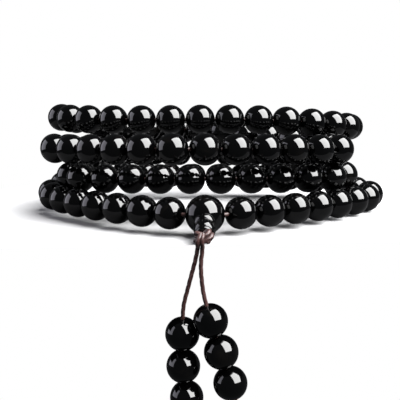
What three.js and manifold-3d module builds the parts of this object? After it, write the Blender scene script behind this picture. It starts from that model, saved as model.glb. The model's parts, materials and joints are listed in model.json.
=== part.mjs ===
// Mala: 108 drilled stone beads and a guru bead on one closed cord, wound into four flattened turns.
// The two ends of the cord come out through the guru bead's front hole and a turned stupa, are knotted,
// and hang down as two tails with three beads each. Millimetres, +Z up. The origin is in the plane that
// the bottom turn rests on, under the middle of the coil, and the guru bead faces -Y. The knot and the
// tails are in front of that plane's edge, so the tails hang below it.

import * as THREE from 'three';
import { mergeVertices } from 'three/addons/utils/BufferGeometryUtils.js';
import Module from 'manifold-3d';

const wasm = await Module();
wasm.setup();

// ---------------------------------------------------------------- driving dimensions

const BEAD_DIAMETER = 8;
const BEAD_COUNT = 108;
const SINGLES_EACH_SIDE = 12; // beads on each side of the guru that are nodes of their own
const RUN_LENGTH = 4; // the other beads are joined at their holes in runs of this many
const CORD_DIAMETER = 1;
const BORE_DIAMETER = 2;
const GURU_DIAMETER = 9.5;
const GURU_GAP = 0.25; // from the guru to the bead on either side
const FACE_GAP = 0.3; // between pieces that touch

const BEAD_RADIUS = BEAD_DIAMETER / 2;
const CORD_RADIUS = CORD_DIAMETER / 2;
const BORE_RADIUS = BORE_DIAMETER / 2;
const GURU_RADIUS = GURU_DIAMETER / 2;

// The strand's middle line, as the places where each turn runs straight across: in front, at the right,
// behind and at the left, then one turn higher. Heights are above the middle of the bottom turn.
const TURNING_POINTS = [
  [2, -8.25, 1.5], [51.25, 30.25, 0], [14.25, 56.5, 3.25], [-36.5, 24, 7.5],
  [9.25, 8.25, 8], [41.75, 21.75, 6.75], [2, 56, 11], [-41, 22.5, 15.75],
  [-5.75, -3.25, 16.75], [38.5, 14.5, 14.75], [-26, 55, 19.75], [-41.75, 46.75, 24],
  [-2.75, 18.25, 23.25], [48, 48, 19.5], [3, 65.5, 18.5], [-44, 33, 1.5],
].map((point) => new THREE.Vector3(...point));
// How full the front of each turn is: 2 is an ellipse, less is a peak, more is a blunt front.
const FRONT_FULLNESS = [1.4, 1.55, 1.3, 2.4];

// The stupa points forward from the guru, a little down and a little to the left.
const STUPA_DROP = THREE.MathUtils.degToRad(15.5);
const STUPA_TURN = THREE.MathUtils.degToRad(1.5);
const STUPA_LENGTH = 6.35;
const STUPA_BORE_RADIUS = 1;
const DOUBLED_CORD_RADIUS = 0.7;

const KNOT_WIDTH = 5;
const TAIL_BEADS = 3;
const TAIL_BEAD_PITCH = 8.05;

const STONE = new THREE.MeshStandardMaterial({ color: 0x070708, roughness: 0.06, metalness: 0 });
const CORD = new THREE.MeshStandardMaterial({ color: 0x5b3532, roughness: 0.7, metalness: 0 });

const UP = new THREE.Vector3(0, 0, 1);
const LATHE_AXIS = new THREE.Vector3(0, 1, 0);

// ---------------------------------------------------------------- the strand's route

const STEPS_PER_QUARTER = 24;

// A point on the quarter turn that starts at a turning point, for t from 0 to 1.
function quarterPoint(index, t) {
  const from = TURNING_POINTS[index];
  const to = TURNING_POINTS[(index + 1) % TURNING_POINTS.length];
  const quarter = index % 4;
  const turn = Math.floor((index + 1) / 4) % FRONT_FULLNESS.length;
  const inFront = quarter === 0 || quarter === 3;
  const power = inFront ? 2 / FRONT_FULLNESS[turn] : 1;
  const sine = Math.sin((t * Math.PI) / 2) ** power;
  const cosine = Math.max(0, Math.cos((t * Math.PI) / 2)) ** power;
  const towardsSide = index % 2 === 0;
  const x = towardsSide ? from.x + (to.x - from.x) * sine : to.x + (from.x - to.x) * cosine;
  const y = towardsSide ? to.y + (from.y - to.y) * cosine : from.y + (to.y - from.y) * sine;
  const z = from.z + (to.z - from.z) * THREE.MathUtils.smoothstep(t, 0, 1);
  return new THREE.Vector3(x, y, z + BEAD_RADIUS);
}

// Once round all the turns, from the guru to the guru, and a little way on past it.
function strandRoute() {
  const points = [];
  for (let index = 0; index < TURNING_POINTS.length; index += 1) {
    for (let step = 0; step < STEPS_PER_QUARTER; step += 1) {
      points.push(quarterPoint(index, step / STEPS_PER_QUARTER));
    }
  }
  return points.concat(points.slice(0, STEPS_PER_QUARTER));
}

// The next place along the route that is a given straight distance from a point on it.
function nextAlong(route, place, distance) {
  let segment = place.segment;
  while (route[segment + 1].distanceTo(place.point) < distance) segment += 1;
  let near = segment === place.segment ? place.point : route[segment];
  let far = route[segment + 1];
  for (let halving = 0; halving < 40; halving += 1) {
    const middle = near.clone().lerp(far, 0.5);
    if (middle.distanceTo(place.point) < distance) near = middle;
    else far = middle;
  }
  return { segment, point: far };
}

// Bead middles for a pitch, and how far the strand then overruns the guru, less than 0 if it falls short.
function threadBeads(route, pitch) {
  const reach = GURU_RADIUS + GURU_GAP + BEAD_RADIUS;
  const guru = route[0];
  let place = nextAlong(route, { segment: 0, point: guru }, reach);
  const centres = [place.point];
  while (centres.length < BEAD_COUNT) {
    place = nextAlong(route, place, pitch);
    centres.push(place.point);
  }
  const last = centres[BEAD_COUNT - 1];
  const passed = last.x > guru.x;
  return { centres, overrun: passed ? reach : reach - last.distanceTo(guru) };
}

// The pitch at which the last bead meets the guru, just over a bead's diameter.
function fitBeads(route) {
  let low = BEAD_DIAMETER;
  let high = BEAD_DIAMETER * 1.05;
  for (let halving = 0; halving < 40; halving += 1) {
    const pitch = (low + high) / 2;
    if (threadBeads(route, pitch).overrun > 0) high = pitch;
    else low = pitch;
  }
  return { pitch: low, centres: threadBeads(route, low).centres };
}

const route = strandRoute();
const GURU_CENTRE = route[0].clone();
const { pitch: PITCH, centres } = fitBeads(route);

// Each bead's hole points from the bead before it to the bead after it, with the guru between the ends.
const holeDirections = centres.map((centre, index) => {
  const before = index === 0 ? GURU_CENTRE : centres[index - 1];
  const after = index === BEAD_COUNT - 1 ? GURU_CENTRE : centres[index + 1];
  return after.clone().sub(before).normalize();
});
const GURU_DIRECTION = centres[0].clone().sub(centres[BEAD_COUNT - 1]).normalize();

// The place between two neighbouring beads where the cord crosses from one hole into the next.
function crossing(index) {
  const half = PITCH / 2;
  const leaving = centres[index].clone().addScaledVector(holeDirections[index], half);
  const entering = centres[index + 1].clone().addScaledVector(holeDirections[index + 1], -half);
  return leaving.lerp(entering, 0.5);
}

// ---------------------------------------------------------------- shape helpers

// A curve through points that are its samples, one for each step.
class SampledRoute extends THREE.Curve {
  constructor(points) {
    super();
    this.points = points;
  }

  getPointAt(u) {
    return this.points[Math.round(u * (this.points.length - 1))].clone();
  }

  getPoint(t) {
    return this.getPointAt(t);
  }

  getTangentAt(u) {
    const last = this.points.length - 1;
    const index = Math.round(u * last);
    const before = this.points[Math.max(0, index - 1)];
    const after = this.points[Math.min(last, index + 1)];
    return after.clone().sub(before).normalize();
  }
}

// A cord's solid: an eight-sided tube with a step at each point.
function cordGeometry(points, radius) {
  const sides = 8;
  const section = new THREE.Shape();
  for (let side = 0; side < sides; side += 1) {
    const angle = ((side + 0.5) * 2 * Math.PI) / sides;
    const corner = [radius * Math.cos(angle), radius * Math.sin(angle)];
    if (side === 0) section.moveTo(...corner);
    else section.lineTo(...corner);
  }
  section.closePath();
  return new THREE.ExtrudeGeometry(section, {
    steps: points.length - 1,
    extrudePath: new SampledRoute(points),
    curveSegments: 1,
  });
}

// The outline of a drilled bead from one hole rim to the other, as [radius, height] pairs.
function beadOutline(radius, boreRadius, edges) {
  const rimAngle = Math.asin((boreRadius + 0.15) / radius);
  const outline = [];
  for (let edge = 0; edge <= edges; edge += 1) {
    const angle = rimAngle + ((Math.PI - 2 * rimAngle) * edge) / edges;
    outline.push([radius * Math.sin(angle), -radius * Math.cos(angle)]);
  }
  return outline;
}

function lathe(outline, segments) {
  const points = outline.map(([radius, height]) => new THREE.Vector2(radius, height));
  return new THREE.LatheGeometry([...points, points[0]], segments);
}

// A single bead, its hole along the lathe's axis.
function beadGeometry(radius, boreRadius, edges, segments) {
  const outline = beadOutline(radius, boreRadius, edges);
  const end = outline[edges][1];
  return lathe([[boreRadius, -end], ...outline, [boreRadius, end]], segments);
}

function toManifold(geometry) {
  const merged = geometry.clone();
  merged.deleteAttribute('normal');
  merged.deleteAttribute('uv');
  const welded = mergeVertices(merged, 1e-4);
  return new wasm.Manifold(new wasm.Mesh({
    numProp: 3,
    vertProperties: new Float32Array(welded.attributes.position.array),
    triVerts: new Uint32Array(welded.index.array),
  }));
}

function fromManifold(solid) {
  const mesh = solid.getMesh();
  const geometry = new THREE.BufferGeometry();
  geometry.setAttribute('position', new THREE.BufferAttribute(new Float32Array(mesh.vertProperties), 3));
  geometry.setIndex(new THREE.BufferAttribute(new Uint32Array(mesh.triVerts), 1));
  geometry.computeVertexNormals();
  return geometry;
}

// A round bar from one point to another, used to drill holes.
function barBetween(from, to, radius) {
  const sides = 12;
  const along = to.clone().sub(from);
  const bar = new THREE.CylinderGeometry(radius, radius, along.length(), sides);
  const turn = new THREE.Quaternion().setFromUnitVectors(LATHE_AXIS, along.clone().normalize());
  bar.applyQuaternion(turn);
  bar.translate(...from.clone().lerp(to, 0.5).toArray());
  return bar;
}

const mala = new THREE.Group();

function addPiece(name, geometry, material) {
  const mesh = new THREE.Mesh(geometry, material);
  mesh.name = name;
  mala.add(mesh);
  return mesh;
}

function addTurned(name, geometry, material, centre, direction) {
  const mesh = addPiece(name, geometry, material);
  mesh.position.copy(centre);
  mesh.quaternion.setFromUnitVectors(LATHE_AXIS, direction);
  return mesh;
}

function numbered(index) {
  return String(index).padStart(3, '0');
}

// ---------------------------------------------------------------- beads of the strand

const SINGLE_EDGES = 6;
const SINGLE_SEGMENTS = 10;
const RUN_EDGES = 4;
const RUN_SEGMENTS = 8;

function addSingleBead(index) {
  const geometry = beadGeometry(BEAD_RADIUS, BORE_RADIUS, SINGLE_EDGES, SINGLE_SEGMENTS);
  addTurned(`bead_${numbered(index + 1)}`, geometry, STONE, centres[index], holeDirections[index]);
}

// Beads joined by a short neck at each crossing: turned in one straight row, then each ring of the row
// is carried to its place on the strand.
function addRun(first) {
  const neckRadius = BORE_RADIUS + 0.5;
  const outline = [];
  for (let bead = 0; bead < RUN_LENGTH; bead += 1) {
    const rings = beadOutline(BEAD_RADIUS, BORE_RADIUS, RUN_EDGES);
    if (bead > 0) rings.shift();
    if (bead < RUN_LENGTH - 1) rings.pop();
    rings.forEach(([radius, height]) => outline.push([radius, bead * PITCH + height]));
    if (bead < RUN_LENGTH - 1) outline.push([neckRadius, (bead + 0.5) * PITCH]);
  }
  const lowEnd = outline[0][1];
  const highEnd = outline[outline.length - 1][1];
  const bore = [[BORE_RADIUS, highEnd]];
  for (let bead = RUN_LENGTH - 1; bead > 0; bead -= 1) bore.push([BORE_RADIUS, (bead - 0.5) * PITCH]);
  bore.push([BORE_RADIUS, lowEnd]);
  const geometry = lathe([...outline, ...bore], RUN_SEGMENTS);
  const positions = geometry.attributes.position;
  for (let vertex = 0; vertex < positions.count; vertex += 1) {
    const height = positions.getY(vertex);
    const bead = Math.min(RUN_LENGTH - 1, Math.max(0, Math.round(height / PITCH)));
    const below = Math.floor(height / PITCH);
    const isCrossing = Math.abs(height / PITCH - below - 0.5) < 1e-4;
    const along = isCrossing
      ? holeDirections[first + below].clone().add(holeDirections[first + below + 1]).normalize()
      : holeDirections[first + bead];
    const centre = isCrossing
      ? crossing(first + below)
      : centres[first + bead].clone().addScaledVector(along, height - bead * PITCH);
    const side = along.clone().cross(UP).normalize();
    const top = side.clone().cross(along);
    centre.addScaledVector(side, positions.getX(vertex)).addScaledVector(top, positions.getZ(vertex));
    positions.setXYZ(vertex, ...centre.toArray());
  }
  addPiece(`beads_${numbered(first + 1)}_to_${numbered(first + RUN_LENGTH)}`, geometry, STONE);
}

function addStrandBeads() {
  for (let index = 0; index < SINGLES_EACH_SIDE; index += 1) {
    addSingleBead(index);
    addSingleBead(BEAD_COUNT - 1 - index);
  }
  for (let first = SINGLES_EACH_SIDE; first < BEAD_COUNT - SINGLES_EACH_SIDE; first += RUN_LENGTH) {
    addRun(first);
  }
}

// The cord inside the beads, from one side of the guru's front hole right round to the other.
function addMainCord() {
  const endDistance = STUPA_BORE_RADIUS + CORD_RADIUS + FACE_GAP;
  const last = BEAD_COUNT - 1;
  const atGuru = (distance) => GURU_CENTRE.clone().addScaledVector(GURU_DIRECTION, distance);
  const atMouth = (index, side) => centres[index].clone()
    .addScaledVector(holeDirections[index], side * BEAD_RADIUS);
  const points = [atGuru(endDistance), atGuru(GURU_RADIUS), atMouth(0, -1)];
  for (let index = 0; index < last; index += 1) points.push(crossing(index));
  points.push(atMouth(last, 1), atGuru(-GURU_RADIUS), atGuru(-endDistance));
  addPiece('main_cord', cordGeometry(points, CORD_RADIUS), CORD);
}

// ---------------------------------------------------------------- guru, stupa and knot

const STUPA_DIRECTION = new THREE.Vector3(-Math.sin(STUPA_TURN), -Math.cos(STUPA_TURN), -Math.tan(STUPA_DROP))
  .normalize();
const STUPA_SEAT = GURU_RADIUS + FACE_GAP; // from the guru's middle to the stupa's hole rim
const STUPA_TIP = STUPA_SEAT + STUPA_LENGTH - FACE_GAP;

function fromGuru(distance) {
  return GURU_CENTRE.clone().addScaledVector(STUPA_DIRECTION, distance);
}

function addGuru() {
  const body = toManifold(new THREE.SphereGeometry(GURU_RADIUS, 20, 14));
  const strandHole = toManifold(barBetween(
    GURU_DIRECTION.clone().multiplyScalar(-GURU_DIAMETER),
    GURU_DIRECTION.clone().multiplyScalar(GURU_DIAMETER),
    BORE_RADIUS,
  ));
  const frontHole = toManifold(barBetween(
    new THREE.Vector3(),
    STUPA_DIRECTION.clone().multiplyScalar(GURU_DIAMETER),
    STUPA_BORE_RADIUS,
  ));
  const drilled = body.subtract(strandHole).subtract(frontHole);
  addPiece('guru_bead', fromManifold(drilled), STONE).position.copy(GURU_CENTRE);
}

// Three rings of falling size on a hollow seat that follows the guru's curve.
function addStupa() {
  const seatRadius = 2.3;
  const seatBack = Math.sqrt(GURU_RADIUS ** 2 - seatRadius ** 2) + FACE_GAP;
  const outline = [
    [STUPA_BORE_RADIUS, STUPA_SEAT], [seatRadius, seatBack], [2.5, seatBack + 0.35],
    [2.5, 5.2], [2.2, 5.6], [1.9, 6.1], [1.9, 6.6],
    [2.3, 7.1], [2.5, 7.7], [2.5, 8.3], [2.3, 8.9], [1.85, 9.4], [1.8, 9.75],
    [2.05, 10.05], [2.15, 10.4], [2.1, 10.8], [1.8, STUPA_TIP], [STUPA_BORE_RADIUS, STUPA_TIP],
  ];
  addTurned('stupa', lathe(outline, 14), STONE, GURU_CENTRE, STUPA_DIRECTION);
}

// The doubled cord from the guru's middle out through the stupa, up to the knot.
function addDoubledCord() {
  const stations = [0, GURU_RADIUS, STUPA_TIP - 0.1];
  addPiece('doubled_cord', cordGeometry(stations.map(fromGuru), DOUBLED_CORD_RADIUS), CORD);
}

// The knot: two crossed wraps round a core, pressed against the stupa's mouth.
const KNOT_CENTRE = fromGuru(STUPA_TIP).add(new THREE.Vector3(-0.2, -2.2, 0.05));

function addKnot() {
  const wrapRadius = CORD_RADIUS * 1.35;
  const ring = KNOT_WIDTH / 2 - wrapRadius;
  const core = new THREE.SphereGeometry(KNOT_WIDTH * 0.3, 10, 8);
  const level = new THREE.TorusGeometry(ring, wrapRadius, 8, 16);
  level.scale(1, 0.72, 1);
  level.rotateX(THREE.MathUtils.degToRad(62));
  const crossed = new THREE.TorusGeometry(ring * 0.8, wrapRadius, 8, 16);
  crossed.scale(1, 0.8, 1);
  crossed.rotateZ(THREE.MathUtils.degToRad(35));
  crossed.rotateX(THREE.MathUtils.degToRad(-15));
  const joined = toManifold(core).add(toManifold(level)).add(toManifold(crossed));
  addPiece('knot', fromManifold(joined), CORD).position.copy(KNOT_CENTRE);
}

// ---------------------------------------------------------------- tails

// Each tail hangs down in front of the rest plane and leans a little back, the right one nearer the front
// so that the two rows of beads pass each other. Places are [sideways, backwards, upwards] from the knot's
// middle and chosen by hand: the bare cord from the knot down, then where each bead hangs.
const TAILS = {
  left: {
    bare: [[-1.3, 0.5, -2.1], [-1.5, 0.75, -3.25], [-1.95, 1.3, -5.4], [-2.6, 1.9, -7.9], [-3.25, 2.45, -10.35],
      [-3.9, 3.05, -12.85], [-4.55, 3.6, -15.35], [-4.95, 4.15, -17.9]],
    beads: [[-5.25, 5.4, -23.75], [-5.2, 5.9, -31.75], [-4.55, 6.45, -39.8]],
  },
  right: {
    bare: [[-0.3, -0.2, -1.95], [-0.4, 0, -3.2], [-0.65, 0.35, -5.35], [-0.7, 0.75, -7.7], [-0.55, 1.1, -10.05],
      [-0.3, 1.5, -12.45], [0.15, 1.85, -14.85]],
    beads: [[1.3, 2.6, -19.75], [3.65, 3.15, -27.45], [5.7, 3.7, -35.2]],
  },
};
const END_KNOT_RADIUS = 1.5;

function besideKnot(place) {
  return KNOT_CENTRE.clone().add(new THREE.Vector3(...place));
}

function addTail(side) {
  const bare = TAILS[side].bare.map(besideKnot);
  const hangingAt = TAILS[side].beads.map(besideKnot);
  const beads = [hangingAt[0]];
  for (let index = 1; index < TAIL_BEADS; index += 1) {
    const previous = beads[index - 1];
    const towards = hangingAt[index].clone().sub(previous).normalize();
    beads.push(previous.clone().addScaledVector(towards, TAIL_BEAD_PITCH));
  }
  const directions = beads.map((bead, index) => {
    const before = index === 0 ? bare[bare.length - 1] : beads[index - 1];
    const after = index === TAIL_BEADS - 1 ? bead : beads[index + 1];
    return after.clone().sub(before).normalize();
  });
  const half = TAIL_BEAD_PITCH / 2;
  const points = [...bare, beads[0].clone().addScaledVector(directions[0], -half)];
  for (let index = 0; index < TAIL_BEADS - 1; index += 1) {
    const leaving = beads[index].clone().addScaledVector(directions[index], half);
    const entering = beads[index + 1].clone().addScaledVector(directions[index + 1], -half);
    points.push(leaving.lerp(entering, 0.5));
  }
  const last = beads[TAIL_BEADS - 1];
  const lastDirection = directions[TAIL_BEADS - 1];
  points.push(last.clone().addScaledVector(lastDirection, BEAD_RADIUS + 0.1));
  addPiece(`tail_cord_${side}`, cordGeometry(points, CORD_RADIUS), CORD);
  beads.forEach((bead, index) => {
    const geometry = beadGeometry(BEAD_RADIUS, BORE_RADIUS, SINGLE_EDGES, SINGLE_SEGMENTS);
    addTurned(`tail_${side}_bead_${index + 1}`, geometry, STONE, bead, directions[index]);
  });
  const knotDistance = BEAD_RADIUS + 0.1 + FACE_GAP + END_KNOT_RADIUS;
  const endKnot = new THREE.SphereGeometry(END_KNOT_RADIUS, 10, 8);
  const knotCentre = last.clone().addScaledVector(lastDirection, knotDistance);
  addTurned(`tail_${side}_end_knot`, endKnot, CORD, knotCentre, lastDirection);
}

addStrandBeads();
addMainCord();
addGuru();
addStupa();
addDoubledCord();
addKnot();
addTail('left');
addTail('right');

export default mala;
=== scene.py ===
import json
import math
import random

import bmesh
import bpy
from mathutils import Matrix, Vector


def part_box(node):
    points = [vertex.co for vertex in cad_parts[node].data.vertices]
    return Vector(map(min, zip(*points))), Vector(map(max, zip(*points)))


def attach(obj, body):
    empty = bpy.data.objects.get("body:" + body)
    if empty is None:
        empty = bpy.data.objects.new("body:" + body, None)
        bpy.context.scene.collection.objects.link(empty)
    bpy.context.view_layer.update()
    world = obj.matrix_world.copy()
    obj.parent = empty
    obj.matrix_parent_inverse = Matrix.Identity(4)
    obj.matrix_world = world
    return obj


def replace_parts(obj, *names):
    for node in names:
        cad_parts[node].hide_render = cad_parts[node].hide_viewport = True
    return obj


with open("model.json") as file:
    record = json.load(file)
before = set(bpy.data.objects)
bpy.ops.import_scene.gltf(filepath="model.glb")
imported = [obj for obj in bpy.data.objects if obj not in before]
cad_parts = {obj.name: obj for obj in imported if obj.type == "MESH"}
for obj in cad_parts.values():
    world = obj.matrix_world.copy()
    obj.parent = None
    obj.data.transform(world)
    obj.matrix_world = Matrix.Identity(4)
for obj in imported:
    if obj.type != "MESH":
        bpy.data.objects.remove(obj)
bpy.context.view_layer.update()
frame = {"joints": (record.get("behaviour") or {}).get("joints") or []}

# Mala: 108 polished black stone beads and a guru bead on a brown cord, wound into four turns, with a
# turned stupa, a knot and two beaded tails. Metres. Lengths written in millimetres are times MM.

MM = 0.001

# ---------------------------------------------------------------- driving dimensions

BEAD_RADIUS = 4.0 * MM
BORE_RADIUS = 0.6 * MM
BEAD_COUNT = 108
SINGLES_EACH_SIDE = 12
RUN_LENGTH = 4
GURU_RADIUS = 4.75 * MM
GURU_GAP = 0.25 * MM
CORD_RADIUS = 0.5 * MM
RIM_ROUNDING = 0.15 * MM
BEAD_SEGMENTS = 48
BEAD_ARC_STEPS = 26
GURU_SEGMENTS = 64
GURU_ARC_STEPS = 32

random.seed(108)


def millimetres(*values):
    return Vector(values) * MM


def joint_named(name):
    return next(joint for joint in frame["joints"] if joint["name"] == name)


def joint_place(name):
    return Vector(joint_named(name)["pos_m"])


def joint_axis(name):
    return Vector(joint_named(name)["axis"]).normalized()


def box_middle(node):
    low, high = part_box(node)
    return (low + high) / 2


# ---------------------------------------------------------------- camera

FRAME_PIXELS = 400
FOCAL_PIXELS = 650
SENSOR_WIDTH = 36.0
CAMERA_PLACE = millimetres(0.845, -160.149, 31.964)
CAMERA_FORWARD = Vector((0.0, 0.98878, -0.1494)).normalized()
CAMERA_ROLL = math.radians(-0.898)

CAMERA_RIGHT = CAMERA_FORWARD.cross(Vector((0, 0, 1))).normalized()
CAMERA_RIGHT.rotate(Matrix.Rotation(-CAMERA_ROLL, 3, CAMERA_FORWARD))
CAMERA_UP = CAMERA_RIGHT.cross(CAMERA_FORWARD).normalized()


def turned_to(right, up, back, place):
    """A matrix whose X, Y and Z axes point to the right, up and back, at a place."""
    matrix = Matrix((right, up, back)).transposed().to_4x4()
    matrix.translation = place
    return matrix


def add_camera():
    data = bpy.data.cameras.new("camera")
    data.sensor_width = SENSOR_WIDTH
    data.lens = FOCAL_PIXELS / FRAME_PIXELS * SENSOR_WIDTH
    data.clip_start = 0.005
    data.clip_end = 20
    camera = bpy.data.objects.new("camera", data)
    bpy.context.scene.collection.objects.link(camera)
    camera.matrix_world = turned_to(CAMERA_RIGHT, CAMERA_UP, -CAMERA_FORWARD, CAMERA_PLACE)
    bpy.context.scene.camera = camera


add_camera()

# ---------------------------------------------------------------- routes

# The strand's middle line in millimetres, as the CAD model has it: the places where each turn runs
# straight across, in front, at the right, behind and at the left, then one turn higher.
TURNING_POINTS = [
    (2, -8.25, 1.5), (51.25, 30.25, 0), (14.25, 56.5, 3.25), (-36.5, 24, 7.5),
    (9.25, 8.25, 8), (41.75, 21.75, 6.75), (2, 56, 11), (-41, 22.5, 15.75),
    (-5.75, -3.25, 16.75), (38.5, 14.5, 14.75), (-26, 55, 19.75), (-41.75, 46.75, 24),
    (-2.75, 18.25, 23.25), (48, 48, 19.5), (3, 65.5, 18.5), (-44, 33, 1.5),
]
FRONT_FULLNESS = [1.4, 1.55, 1.3, 2.4]
STEPS_PER_QUARTER = 24


def quarter_point(index, t):
    start = millimetres(*TURNING_POINTS[index])
    end = millimetres(*TURNING_POINTS[(index + 1) % len(TURNING_POINTS)])
    turn = (index + 1) // 4 % len(FRONT_FULLNESS)
    power = 2 / FRONT_FULLNESS[turn] if index % 4 in (0, 3) else 1
    sine = math.sin(t * math.pi / 2) ** power
    cosine = max(0.0, math.cos(t * math.pi / 2)) ** power
    if index % 2 == 0:
        x = start.x + (end.x - start.x) * sine
        y = end.y + (start.y - end.y) * cosine
    else:
        x = end.x + (start.x - end.x) * cosine
        y = start.y + (end.y - start.y) * sine
    z = start.z + (end.z - start.z) * t * t * (3 - 2 * t)
    return Vector((x, y, z + BEAD_RADIUS))


def strand_route():
    points = []
    for index in range(len(TURNING_POINTS)):
        for step in range(STEPS_PER_QUARTER):
            points.append(quarter_point(index, step / STEPS_PER_QUARTER))
    return points + points[:STEPS_PER_QUARTER]


def next_along(route, segment, point, distance):
    """The next place along the route that is a straight distance from a point on it."""
    first = segment
    while (route[segment + 1] - point).length < distance:
        segment += 1
    near = point if segment == first else route[segment]
    far = route[segment + 1]
    for _ in range(30):
        middle = (near + far) / 2
        if (middle - point).length < distance:
            near = middle
        else:
            far = middle
    return segment, far


def thread_beads(route, pitch):
    """Bead middles for a pitch, and whether the last bead overruns the guru."""
    reach = GURU_RADIUS + GURU_GAP + BEAD_RADIUS
    segment, point = next_along(route, 0, route[0], reach)
    centres = [point]
    while len(centres) < BEAD_COUNT:
        segment, point = next_along(route, segment, point, pitch)
        centres.append(point)
    overruns = point.x > route[0].x or (point - route[0]).length < reach
    return centres, overruns


def fit_beads(route):
    low = 2 * BEAD_RADIUS
    high = 2.1 * BEAD_RADIUS
    for _ in range(30):
        pitch = (low + high) / 2
        if thread_beads(route, pitch)[1]:
            high = pitch
        else:
            low = pitch
    return thread_beads(route, low)[0]


ROUTE = strand_route()
GURU_CENTRE = joint_place("guru_roll")
GURU_DIRECTION = -joint_axis("guru_roll")
BEAD_CENTRES = fit_beads(ROUTE)


def hole_directions(centres):
    around = [GURU_CENTRE, *centres, GURU_CENTRE]
    return [(around[i + 2] - around[i]).normalized() for i in range(len(centres))]


BEAD_DIRECTIONS = hole_directions(BEAD_CENTRES)

STUPA_DIRECTION = joint_axis("stupa_spin")
KNOT_CENTRE = box_middle("knot")

# Each tail: its bare cord in millimetres from the knot's middle down, as the CAD model has it, and the
# length of the whole cord. Where its beads hang comes from their joints.
TAILS = {
    "left": {
        "bare": [(-1.3, 0.5, -2.1), (-1.5, 0.75, -3.25), (-1.95, 1.3, -5.4), (-2.6, 1.9, -7.9),
                 (-3.25, 2.45, -10.35), (-3.9, 3.05, -12.85), (-4.55, 3.6, -15.35), (-4.95, 4.15, -17.9)],
        "length": 42.9 * MM,
    },
    "right": {
        "bare": [(-0.3, -0.2, -1.95), (-0.4, 0, -3.2), (-0.65, 0.35, -5.35), (-0.7, 0.75, -7.7),
                 (-0.55, 1.1, -10.05), (-0.3, 1.5, -12.45), (0.15, 1.85, -14.85)],
        "length": 38.4 * MM,
    },
}
TAIL_BEADS = 3
KNOT_MODEL_CENTRE = joint_place("tail_left_swing") - millimetres(*TAILS["left"]["bare"][0])


def smooth_path(points, step, closed=False):
    """Points about a step apart on a smooth curve through the given ones."""
    count = len(points)
    spans = count if closed else count - 1

    def at(index):
        if closed:
            return points[index % count]
        if index < 0:
            return 2 * points[0] - points[1]
        if index >= count:
            return 2 * points[-1] - points[-2]
        return points[index]

    path = []
    for span in range(spans):
        before, start, end, after = at(span - 1), at(span), at(span + 1), at(span + 2)
        steps = max(2, round((end - start).length / step))
        for i in range(steps):
            t = i / steps
            path.append(0.5 * (
                2 * start
                + (end - before) * t
                + (2 * before - 5 * start + 4 * end - after) * t * t
                + (3 * start - before - 3 * end + after) * t * t * t
            ))
    if not closed:
        path.append(points[-1].copy())
    return path


# ---------------------------------------------------------------- mesh helpers

def rounded_corner(start, corner, end, steps):
    """A rounded corner between two points, as a quadratic curve."""
    points = []
    for i in range(steps + 1):
        t = i / steps
        points.append(start.lerp(corner, t).lerp(corner.lerp(end, t), t))
    return points


def drilled_ball_outline(radius, bore, arc_steps):
    """The closed outline of a drilled ball, as (radius, height) pairs, with rounded hole rims."""
    rim_angle = math.asin((bore + RIM_ROUNDING) / radius)
    ball = []
    for i in range(arc_steps + 1):
        angle = rim_angle + (math.pi - 2 * rim_angle) * i / arc_steps
        ball.append(Vector((radius * math.sin(angle), -radius * math.cos(angle))))
    top = ball[-1]
    rim = rounded_corner(
        top, Vector((bore, top.y + 0.05 * RIM_ROUNDING)), Vector((bore, top.y - RIM_ROUNDING)), 4
    )
    bottom_rim = [Vector((point.x, -point.y)) for point in reversed(rim)]
    return ball[:-1] + rim + bottom_rim[:-1]


def revolve(outline, segments):
    """A solid of revolution about Z from a closed outline: its vertices and faces."""
    count = len(outline)
    vertices = []
    for segment in range(segments):
        angle = 2 * math.pi * segment / segments
        for point in outline:
            vertices.append(Vector((point.x * math.cos(angle), point.x * math.sin(angle), point.y)))
    faces = []
    for segment in range(segments):
        beside = (segment + 1) % segments
        for i in range(count):
            j = (i + 1) % count
            faces.append((segment * count + i, beside * count + i, beside * count + j, segment * count + j))
    return vertices, faces


def placed(shape, centre, direction, roll=0.0, scale=1.0):
    """A shape's copy with its Z along a direction, turned about it, at a place."""
    vertices, faces = shape
    turn = direction.to_track_quat("Z", "Y").to_matrix() @ Matrix.Rotation(roll, 3, "Z")
    return [turn @ (vertex * scale) + centre for vertex in vertices], faces


def joined(shapes):
    vertices = []
    faces = []
    for more_vertices, more_faces in shapes:
        offset = len(vertices)
        vertices += more_vertices
        faces += [tuple(index + offset for index in face) for face in more_faces]
    return vertices, faces


def tube(path, radius, sides=16, plies=3, twist=6 * MM, closed=False):
    """A cord laid from a few plies: a tube with a lobed section that turns as it goes."""
    count = len(path)
    normal = None
    vertices = []
    travelled = 0.0
    for i, point in enumerate(path):
        before = path[i - 1] if i > 0 or closed else path[0]
        after = path[(i + 1) % count] if i < count - 1 or closed else path[-1]
        tangent = (after - before).normalized()
        if normal is None:
            normal = tangent.orthogonal().normalized()
        normal = (normal - tangent * normal.dot(tangent)).normalized()
        binormal = tangent.cross(normal)
        if i > 0:
            travelled += (point - path[i - 1]).length
        turn = 2 * math.pi * travelled / twist
        for side in range(sides):
            angle = 2 * math.pi * side / sides
            groove = 1 - abs(math.cos(plies / 2 * (angle - turn)))
            reach = radius * (1 - 0.2 * groove * groove)
            vertices.append(
                point + normal * (reach * math.cos(angle)) + binormal * (reach * math.sin(angle))
            )
    faces = []
    for i in range(count if closed else count - 1):
        for side in range(sides):
            beside = (side + 1) % sides
            j = (i + 1) % count
            faces.append((i * sides + side, i * sides + beside, j * sides + beside, j * sides + side))
    if not closed:
        faces.append(tuple(range(sides - 1, -1, -1)))
        faces.append(tuple(range((count - 1) * sides, count * sides)))
    return vertices, faces


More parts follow.
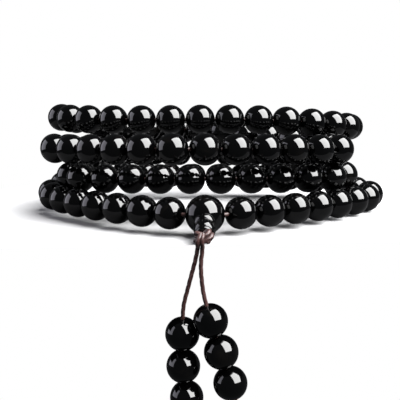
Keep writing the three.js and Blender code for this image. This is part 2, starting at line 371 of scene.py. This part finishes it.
def add_piece(name, shape, material, body, sharp_angle=50):
    vertices, faces = shape
    mesh = bpy.data.meshes.new(name)
    mesh.from_pydata([tuple(vertex) for vertex in vertices], [], faces)
    work = bmesh.new()
    work.from_mesh(mesh)
    bmesh.ops.recalc_face_normals(work, faces=work.faces)
    work.to_mesh(mesh)
    work.free()
    mesh.shade_smooth()
    mesh.set_sharp_from_angle(angle=math.radians(sharp_angle))
    mesh.materials.append(material)
    piece = bpy.data.objects.new(name, mesh)
    bpy.context.scene.collection.objects.link(piece)
    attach(piece, body)
    return piece


# ---------------------------------------------------------------- materials

def new_material(name):
    """A material with its node tree, its Principled shader and a function that adds a node."""
    material = bpy.data.materials.new(name)
    material.use_nodes = True
    tree = material.node_tree
    shader = tree.nodes["Principled BSDF"]

    def add(kind, **settings):
        node = tree.nodes.new(kind)
        for key, value in settings.items():
            if key in node.inputs:
                node.inputs[key].default_value = value
            else:
                setattr(node, key, value)
        return node

    return material, tree, shader, add


def ramp_between(node, stops):
    """Sets a colour ramp's stops, as (place, colour) pairs."""
    elements = node.color_ramp.elements
    while len(elements) < len(stops):
        elements.new(0.5)
    for element, (place, colour) in zip(elements, stops):
        element.position = place
        element.color = (*colour, 1)


def stone_material():
    """Polished black stone: nearly black, with faint smoky clouds and slight unevenness in the polish."""
    material, tree, shader, add = new_material("polished_black_stone")
    link = tree.links.new
    place = add("ShaderNodeTexCoord")
    clouds = add("ShaderNodeTexNoise", Scale=170.0, Detail=5.0, Roughness=0.6, Distortion=0.8)
    link(place.outputs["Object"], clouds.inputs["Vector"])
    colours = add("ShaderNodeValToRGB")
    ramp_between(colours, [(0.3, (0.0002, 0.0002, 0.00025)), (0.6, (0.0006, 0.0006, 0.00065)),
                           (0.85, (0.0032, 0.0026, 0.002))])
    link(clouds.outputs["Fac"], colours.inputs["Fac"])
    link(colours.outputs["Color"], shader.inputs["Base Color"])

    smears = add("ShaderNodeTexNoise", Scale=420.0, Detail=3.0, Roughness=0.55)
    link(place.outputs["Object"], smears.inputs["Vector"])
    polish = add("ShaderNodeMapRange")
    polish.inputs["From Min"].default_value = 0.3
    polish.inputs["From Max"].default_value = 0.75
    polish.inputs["To Min"].default_value = 0.035
    polish.inputs["To Max"].default_value = 0.085
    link(smears.outputs["Fac"], polish.inputs["Value"])
    link(polish.outputs["Result"], shader.inputs["Roughness"])

    waves = add("ShaderNodeTexNoise", Scale=260.0, Detail=1.0, Roughness=0.4)
    link(place.outputs["Object"], waves.inputs["Vector"])
    bump = add("ShaderNodeBump", Strength=0.22, Distance=0.00006)
    link(waves.outputs["Fac"], bump.inputs["Height"])
    link(bump.outputs["Normal"], shader.inputs["Normal"])

    shader.inputs["IOR"].default_value = 1.5
    return material


def cord_material():
    """Waxed reddish brown cord, with fine lighter and darker fibres."""
    material, tree, shader, add = new_material("brown_cord")
    link = tree.links.new
    place = add("ShaderNodeTexCoord")
    fibres = add("ShaderNodeTexNoise", Scale=2600.0, Detail=4.0, Roughness=0.7)
    stretch = add("ShaderNodeMapping")
    stretch.inputs["Scale"].default_value = (1.0, 1.0, 0.22)
    link(place.outputs["Object"], stretch.inputs["Vector"])
    link(stretch.outputs["Vector"], fibres.inputs["Vector"])
    colours = add("ShaderNodeValToRGB")
    ramp_between(colours, [(0.32, (0.012, 0.004, 0.0036)), (0.52, (0.038, 0.0155, 0.014)),
                           (0.72, (0.105, 0.058, 0.054))])
    link(fibres.outputs["Fac"], colours.inputs["Fac"])
    link(colours.outputs["Color"], shader.inputs["Base Color"])
    bump = add("ShaderNodeBump", Strength=0.6, Distance=0.00006)
    link(fibres.outputs["Fac"], bump.inputs["Height"])
    link(bump.outputs["Normal"], shader.inputs["Normal"])
    shader.inputs["Roughness"].default_value = 0.42
    shader.inputs["Sheen Weight"].default_value = 0.05
    shader.inputs["Sheen Roughness"].default_value = 0.4
    return material


STONE = stone_material()
CORD = cord_material()

# ---------------------------------------------------------------- cords

END_KNOT_DEPTH = 1.1 * MM
END_KNOT_STEPS = 72
END_KNOT_STUB = [(0, 0, -0.6), (0.3, 0.1, 0.7), (0.5, 0.1, 2.0)]    # millimetres, from the knot's middle
END_KNOT_STUB_SCALE = 0.9
CORD_INSIDE_GURU = 2 * MM


def path_in_tail(side):
    """The tail cord's line: its bare stretch, then through each bead to the end knot."""
    bare = [KNOT_MODEL_CENTRE + millimetres(*point) for point in TAILS[side]["bare"]]
    beads = [joint_place(f"tail_{side}_bead_{number}_spin") for number in range(1, TAIL_BEADS + 1)]
    end = beads[-1] + joint_axis(f"tail_{side}_bead_{TAIL_BEADS}_spin") * (BEAD_RADIUS + 0.5 * MM)
    return smooth_path([*bare, *beads, end], 0.25 * MM)


def trefoil(width, depth, steps):
    """A closed overhand knot about Z, within a width across and a depth along Z."""
    points = []
    for i in range(steps):
        t = 2 * math.pi * i / steps
        across = width / 6
        points.append(Vector((
            across * (math.sin(t) + 2 * math.sin(2 * t)),
            across * (math.cos(t) - 2 * math.cos(2 * t)),
            -depth / 2 * math.sin(3 * t),
        )))
    return points


def add_end_knot(side):
    """An overhand knot below the last bead, with a short cut end."""
    node = f"tail_{side}_end_knot"
    centre = box_middle(node)
    direction = joint_axis(f"tail_{side}_bead_{TAIL_BEADS}_spin")
    turn = direction.to_track_quat("Z", "Y").to_matrix()
    low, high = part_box(node)
    width = (high - low).x
    loop = trefoil(width - 2 * CORD_RADIUS, END_KNOT_DEPTH, END_KNOT_STEPS)
    path = [turn @ point + centre for point in loop]
    stub = smooth_path([centre + turn @ millimetres(*point) for point in END_KNOT_STUB], 0.2 * MM)
    shape = joined([tube(path, CORD_RADIUS, closed=True), tube(stub, CORD_RADIUS * END_KNOT_STUB_SCALE)])
    knot = add_piece(node + "_tied", shape, CORD, f"tail_{side}")
    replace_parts(knot, node)
    return knot


def add_tail_cord(side):
    path = path_in_tail(side)
    node = f"tail_cord_{side}"
    piece = add_piece(node + "_laid", tube(path, CORD_RADIUS), CORD, f"tail_{side}")
    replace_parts(piece, node)


def add_main_cord():
    """The cord inside the strand's beads. It shows only where it crosses a gap."""
    reaches = (CORD_INSIDE_GURU, GURU_RADIUS)
    points = [GURU_CENTRE + GURU_DIRECTION * reach for reach in reaches]
    points += BEAD_CENTRES
    points += [GURU_CENTRE - GURU_DIRECTION * reach for reach in reversed(reaches)]
    shape = tube(smooth_path(points, 0.6 * MM), CORD_RADIUS, sides=12)
    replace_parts(add_piece("main_cord_strand", shape, CORD, "strand"), "main_cord")


# ---------------------------------------------------------------- stone pieces

BEAD_SHAPE = revolve(drilled_ball_outline(BEAD_RADIUS, BORE_RADIUS, BEAD_ARC_STEPS), BEAD_SEGMENTS)


def bead_at(centre, direction):
    """One bead, a hair smaller than the largest, turned at random about its hole."""
    roll = random.uniform(0, 2 * math.pi)
    return placed(BEAD_SHAPE, centre, direction, roll, random.uniform(0.993, 1.0))


def add_strand_beads():
    """The single beads on each side of the guru, then the runs of four, one piece for each CAD node."""
    for index in range(BEAD_COUNT):
        if SINGLES_EACH_SIDE <= index < BEAD_COUNT - SINGLES_EACH_SIDE:
            continue
        node = f"bead_{index + 1:03d}"
        centre = joint_place(f"{node}_spin")
        shape = bead_at(centre, joint_axis(f"{node}_spin"))
        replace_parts(add_piece(f"{node}_polished", shape, STONE, node), node)
    for first in range(SINGLES_EACH_SIDE, BEAD_COUNT - SINGLES_EACH_SIDE, RUN_LENGTH):
        node = f"beads_{first + 1:03d}_to_{first + RUN_LENGTH:03d}"
        run = range(first, first + RUN_LENGTH)
        shape = joined([bead_at(BEAD_CENTRES[i], BEAD_DIRECTIONS[i]) for i in run])
        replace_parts(add_piece(f"{node}_polished", shape, STONE, "strand"), node)


def add_tail_beads(side):
    pieces = []
    for number in range(1, TAIL_BEADS + 1):
        node = f"tail_{side}_bead_{number}"
        shape = bead_at(joint_place(f"{node}_spin"), joint_axis(f"{node}_spin"))
        piece = add_piece(f"{node}_polished", shape, STONE, node)
        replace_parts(piece, node)
        pieces.append(piece)
    return pieces


def add_guru():
    outline = drilled_ball_outline(GURU_RADIUS, BORE_RADIUS, GURU_ARC_STEPS)
    shape = placed(revolve(outline, GURU_SEGMENTS), GURU_CENTRE, GURU_DIRECTION)
    piece = add_piece("guru_bead_polished", shape, STONE, "guru")
    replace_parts(piece, "guru_bead")


# The stupa's outline in millimetres, from the guru's middle: each ring bulges between two grooves.
STUPA_BORE = 1.0
STUPA_SEAT_RADIUS = 2.3
STUPA_SEAT_GAP = 0.06
STUPA_SEAT_STEPS = 7
STUPA_TIP_SLOPE = 0.05
STUPA_RING_STEPS = 14
STUPA_RING_POWER = 0.6    # below 1 the rings are fuller than a half sine
STUPA_RINGS = [
    # (groove before, groove radius, ring radius, groove after, groove radius)
    (4.4, 2.3, 2.55, 6.2, 1.9),
    (6.2, 1.9, 2.55, 9.75, 1.8),
    (9.75, 1.8, 2.2, 11.1, 1.75),
]


def stupa_outline():
    points = []
    for start, start_radius, ring_radius, end, end_radius in STUPA_RINGS:
        for i in range(STUPA_RING_STEPS):
            t = i / STUPA_RING_STEPS
            base = start_radius + (end_radius - start_radius) * t
            height = ring_radius - (start_radius + end_radius) / 2
            bulge = height * math.sin(math.pi * t) ** STUPA_RING_POWER
            points.append(Vector((base + bulge, start + (end - start) * t)) * MM)
    tip = STUPA_RINGS[-1][3]
    points.append(Vector((STUPA_RINGS[-1][4], tip)) * MM)
    points.append(Vector((STUPA_BORE, tip - STUPA_TIP_SLOPE)) * MM)
    guru_radius = GURU_RADIUS / MM + STUPA_SEAT_GAP
    inner = math.asin(STUPA_BORE / guru_radius)
    outer = math.asin(STUPA_SEAT_RADIUS / guru_radius)
    for i in range(STUPA_SEAT_STEPS + 1):
        angle = inner + (outer - inner) * i / STUPA_SEAT_STEPS
        points.append(Vector((guru_radius * math.sin(angle), guru_radius * math.cos(angle))) * MM)
    return points


def add_stupa():
    shape = placed(revolve(stupa_outline(), GURU_SEGMENTS), GURU_CENTRE, STUPA_DIRECTION)
    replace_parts(add_piece("stupa_turned", shape, STONE, "stupa", sharp_angle=60), "stupa")


# ---------------------------------------------------------------- knot and doubled cord

DOUBLED_CORD_RADIUS = 0.45 * MM
DOUBLED_CORD_OFFSET = 0.46 * MM

WRAP_STEPS = 60
KNOT_SLANT = math.radians(35)
# Each pair of wraps: its share of the knot's half width, its depth, slant and wobble, and how far each
# of the two lies from the pair's middle, in millimetres.
DOUBLE_WRAP = {"width": 0.95, "depth": 1.15 * MM, "slant": KNOT_SLANT, "wobble": 0.12 * MM, "offset": 0.5}
CROSSED_WRAP = {"width": 0.72, "depth": 0.7 * MM, "slant": -0.6 * KNOT_SLANT, "wobble": 0.1 * MM,
                "offset": 0.45}
CROSSED_WRAP_MIDDLE = (-0.2, 0.3, 0.1)    # millimetres


def add_doubled_cord():
    """Both ends of the cord, side by side, from the guru's middle out to the knot."""
    side = STUPA_DIRECTION.cross(Vector((0, 0, 1))).normalized() * DOUBLED_CORD_OFFSET
    low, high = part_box("doubled_cord")
    reach = (high - low).length
    strands = []
    for sign in (-1, 1):
        ends = [GURU_CENTRE + side * sign, GURU_CENTRE + STUPA_DIRECTION * reach + side * sign]
        strands.append(tube(smooth_path(ends, 0.3 * MM), DOUBLED_CORD_RADIUS))
    piece = add_piece("doubled_cord_strands", joined(strands), CORD, "guru")
    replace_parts(piece, "doubled_cord")


def wrap_of_cord(half_width, wrap, middle):
    """A closed wrap of cord: an oval across and to the front and back, on a slant."""
    slant = wrap["slant"]
    along = Vector((math.cos(slant), 0, math.sin(slant)))
    beside = Vector((-math.sin(slant), 0, math.cos(slant)))
    path = []
    for i in range(WRAP_STEPS):
        t = 2 * math.pi * i / WRAP_STEPS
        place = along * (half_width * wrap["width"] * math.cos(t))
        place += Vector((0, wrap["depth"] * math.sin(t), 0))
        path.append(KNOT_CENTRE + middle + place + beside * (wrap["wobble"] * math.sin(2 * t)))
    return tube(path, CORD_RADIUS, closed=True)


def add_knot():
    """Both cords tied together: a slanting double wrap on a crossed one, and two ends over the front."""
    low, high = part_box("knot")
    half_width = (high - low).x / 2 - CORD_RADIUS
    shapes = []
    for sign in (-1, 1):
        offset = sign * DOUBLE_WRAP["offset"]
        middle = millimetres(-math.sin(KNOT_SLANT) * offset, 0, math.cos(KNOT_SLANT) * offset)
        shapes.append(wrap_of_cord(half_width, DOUBLE_WRAP, middle))
    for sign in (-1, 1):
        middle = millimetres(*CROSSED_WRAP_MIDDLE)
        middle.z += sign * CROSSED_WRAP["offset"] * MM
        shapes.append(wrap_of_cord(half_width, CROSSED_WRAP, middle))
    for side in TAILS:
        start = TAILS[side]["bare"][0]
        over = [(start[0] * 0.5 + 0.1, -0.9, 1.0), (start[0] * 0.7 - 0.1, -1.75, 0.3),
                (start[0] - 0.1, -1.7, -0.7), (start[0] - 0.05, -0.7, -1.6), start]
        path = smooth_path([KNOT_MODEL_CENTRE + millimetres(*point) for point in over], 0.2 * MM)
        shapes.append(tube(path, CORD_RADIUS))
    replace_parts(add_piece("knot_tied", joined(shapes), CORD, "knot"), "knot")


for tail_side in TAILS:
    on_cord = add_tail_beads(tail_side)
    on_cord.append(add_end_knot(tail_side))
    add_tail_cord(tail_side)
add_main_cord()
add_strand_beads()
add_guru()
add_stupa()
add_doubled_cord()
add_knot()

# ---------------------------------------------------------------- floor, light and world

SHELF_EDGE = -16.4 * MM
SHELF_SIDE = 0.1
SHELF_BACK = 0.13
SHELF_FADE_START = 0.062
SHELF_FADE_END = 0.098
COIL_MIDDLE = Vector((0, 0.02, 0.015))


def add_shelf():
    """A thin surface under the coil, whose front edge is between the coil and the tails.

    It is pale where the camera sees it, fades to the white backdrop away from the coil, and is dark in
    the beads' reflections.
    """
    material, tree, shader, add = new_material("pale_shelf")
    link = tree.links.new
    shader.inputs["Base Color"].default_value = (0.06, 0.06, 0.062, 1)
    shader.inputs["Roughness"].default_value = 0.9
    shader.inputs["Specular IOR Level"].default_value = 0.0
    pale = add("ShaderNodeBsdfDiffuse", Color=(0.5, 0.5, 0.505, 1))
    backdrop = add("ShaderNodeEmission", Color=(1, 1, 1, 1), Strength=1.0)

    place = add("ShaderNodeTexCoord")
    from_coil = add("ShaderNodeVectorMath", operation="DISTANCE")
    from_coil.inputs[1].default_value = (0, 0.03, 0)
    fade = add("ShaderNodeMapRange", interpolation_type="SMOOTHSTEP")
    fade.inputs["From Min"].default_value = SHELF_FADE_START
    fade.inputs["From Max"].default_value = SHELF_FADE_END
    link(place.outputs["Object"], from_coil.inputs[0])
    link(from_coil.outputs["Value"], fade.inputs["Value"])
    seen = add("ShaderNodeMixShader")
    link(fade.outputs["Result"], seen.inputs[0])
    link(pale.outputs[0], seen.inputs[1])
    link(backdrop.outputs[0], seen.inputs[2])

    rays = add("ShaderNodeLightPath")
    mix = add("ShaderNodeMixShader")
    link(rays.outputs["Is Camera Ray"], mix.inputs[0])
    link(shader.outputs[0], mix.inputs[1])
    link(seen.outputs[0], mix.inputs[2])
    link(mix.outputs[0], tree.nodes["Material Output"].inputs["Surface"])
    mesh = bpy.data.meshes.new("shelf")
    corners = [(-SHELF_SIDE, SHELF_EDGE, 0), (SHELF_SIDE, SHELF_EDGE, 0), (SHELF_SIDE, SHELF_BACK, 0),
               (-SHELF_SIDE, SHELF_BACK, 0)]
    mesh.from_pydata(corners, [], [(0, 1, 2, 3)])
    mesh.materials.append(material)
    shelf = bpy.data.objects.new("shelf", mesh)
    bpy.context.scene.collection.objects.link(shelf)


def add_panel_light(name, place, right, up, width, height, power, colour=(1, 1, 1)):
    """A softbox. Its place, from the coil, and its directions are in the camera's right, up and back."""
    data = bpy.data.lights.new(name, "AREA")
    data.shape = "RECTANGLE"
    data.size = width
    data.size_y = height
    data.energy = power
    data.color = colour

    def in_world(vector):
        return CAMERA_RIGHT * vector[0] + CAMERA_UP * vector[1] - CAMERA_FORWARD * vector[2]

    across = in_world(right).normalized()
    along = in_world(up)
    along = (along - across * along.dot(across)).normalized()
    light = bpy.data.objects.new(name, data)
    bpy.context.scene.collection.objects.link(light)
    light.matrix_world = turned_to(across, along, across.cross(along), COIL_MIDDLE + in_world(place))


def add_lights():
    add_panel_light("softbox", (0.717, 0.828, 0.529), (0.767, 0.05, -0.757), (-0.53, 1.08, -0.88),
                    1.2, 1.61, 108)
    add_panel_light("side_panel", (-0.93, 0.31, -0.03), (0.05, 0, 1), (0.3, 1, 0), 0.85, 0.8, 5.0,
                    (0.9, 0.89, 1.0))


def add_world():
    """White where the camera looks past the coil, and a dim studio for everything else."""
    world = bpy.data.worlds.new("studio")
    bpy.context.scene.world = world
    world.use_nodes = True
    nodes = world.node_tree.nodes
    link = world.node_tree.links.new
    dim = nodes["Background"]
    dim.inputs["Color"].default_value = (0.5, 0.52, 0.55, 1)
    dim.inputs["Strength"].default_value = 0.12
    white = nodes.new("ShaderNodeBackground")
    white.inputs["Color"].default_value = (1, 1, 1, 1)
    rays = nodes.new("ShaderNodeLightPath")
    mix = nodes.new("ShaderNodeMixShader")
    link(rays.outputs["Is Camera Ray"], mix.inputs[0])
    link(dim.outputs[0], mix.inputs[1])
    link(white.outputs[0], mix.inputs[2])
    link(mix.outputs[0], nodes["World Output"].inputs["Surface"])
    bpy.context.scene.view_settings.view_transform = "Standard"


add_shelf()
add_lights()
add_world()
